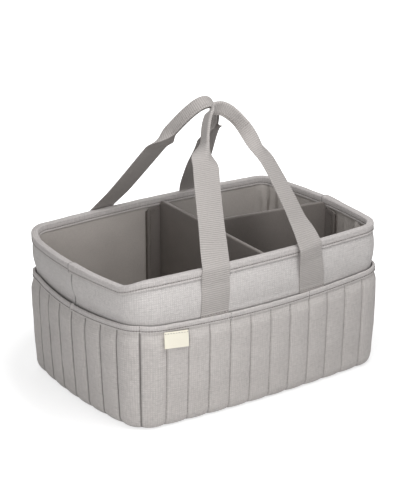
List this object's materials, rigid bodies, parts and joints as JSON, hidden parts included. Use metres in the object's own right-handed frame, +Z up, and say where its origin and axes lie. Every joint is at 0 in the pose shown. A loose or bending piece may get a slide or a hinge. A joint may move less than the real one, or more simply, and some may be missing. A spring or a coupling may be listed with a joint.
{
  "type": "diaper caddy",
  "caption": "Soft open caddy with padded walls, quilted outer pockets, folded webbing handles, a blank cloth label and a lift-out T-shaped divider held by hook-and-loop flaps.",
  "frame": {"origin": "middle of the flat underside, on the surface that the caddy stands on", "axes": "+X along the length, towards the end with the lengthwise divider; -Y is the front, with the label; +Z up"},
  "size_m": [0.3972, 0.2722, 0.3489],
  "materials": {
    "outer_cloth": "warm light grey woven cloth",
    "quilted_cloth": "warm grey woven cloth, channel quilted",
    "lining_cloth": "smooth grey lining cloth",
    "webbing": "cross-ribbed webbing",
    "label_cloth": "blank cream woven tape",
    "foam": "soft padding sheet",
    "stiff_board": "stiffening board",
    "hook_and_loop": "hook-and-loop tape"
  },
  "bodies": {
    "tub": {"front_outer_panel": "outer_cloth", "rear_outer_panel": "outer_cloth", "rim_binding_front": "outer_cloth", "rim_binding_rear": "outer_cloth", "pocket_panel_front": "quilted_cloth", "pocket_panel_rear": "quilted_cloth", "pocket_binding_front": "quilted_cloth", "pocket_binding_rear": "quilted_cloth", "base_cover": "quilted_cloth", "front_lining": "lining_cloth", "rear_lining": "lining_cloth", "lining_floor": "lining_cloth", "front_left_strap_tail": "webbing", "front_right_strap_tail": "webbing", "rear_left_strap_tail": "webbing", "rear_right_strap_tail": "webbing", "front_foam_board": "foam", "rear_foam_board": "foam", "left_foam_board": "foam", "right_foam_board": "foam", "base_board": "stiff_board", "rear_loop_tape": "hook_and_loop", "front_loop_tape": "hook_and_loop", "right_loop_tape": "hook_and_loop"},
    "front_handle": {"front_handle": "webbing"},
    "rear_handle": {"rear_handle": "webbing"},
    "divider": {"cross_divider_cover": "lining_cloth", "cross_divider_board": "stiff_board"},
    "long_divider": {"long_divider_cover": "lining_cloth", "long_divider_board": "stiff_board"},
    "rear_flap": {"rear_flap": "lining_cloth", "rear_hook_tape": "hook_and_loop"},
    "front_flap": {"front_flap": "lining_cloth", "front_hook_tape": "hook_and_loop"},
    "right_flap": {"right_flap": "lining_cloth", "right_hook_tape": "hook_and_loop"},
    "label": {"label": "label_cloth"}
  },
  "joints": [
    {"name": "front_handle_swing", "type": "hinge", "parent": "tub", "child": "front_handle", "pos_m": [0, -0.13011, 0.18472], "axis": [1, 0, 0], "range_deg": [0, 185]},
    {"name": "rear_handle_swing", "type": "hinge", "parent": "tub", "child": "rear_handle", "pos_m": [0, 0.13011, 0.18472], "axis": [-1, 0, 0], "range_deg": [0, 185]},
    {"name": "divider_lift", "type": "slide", "parent": "tub", "child": "divider", "axis": [0, 0, 1], "range_m": [0, 0.11]},
    {"name": "long_divider_fold", "type": "hinge", "parent": "divider", "child": "long_divider", "pos_m": [0.01046, 0.01335, 0.0061], "axis": [0, 0, 1], "range_deg": [-30, 0]},
    {"name": "rear_flap_peel", "type": "hinge", "parent": "divider", "child": "rear_flap", "pos_m": [0.01012, 0.11797, 0], "axis": [0, 0, 1], "range_deg": [0, 80]},
    {"name": "front_flap_peel", "type": "hinge", "parent": "divider", "child": "front_flap", "pos_m": [-0.0016, -0.118, 0], "axis": [0, 0, 1], "range_deg": [-80, 0]},
    {"name": "right_flap_peel", "type": "hinge", "parent": "long_divider", "child": "right_flap", "pos_m": [0.1799, -0.01045, 0], "axis": [0, 0, 1], "range_deg": [-80, 0]},
    {"name": "label_lift", "type": "hinge", "parent": "tub", "child": "label", "pos_m": [-0.13723, -0.13127, 0.1242], "axis": [-0.9971, 0.0761, 0], "range_deg": [0, 110]}
  ]
}
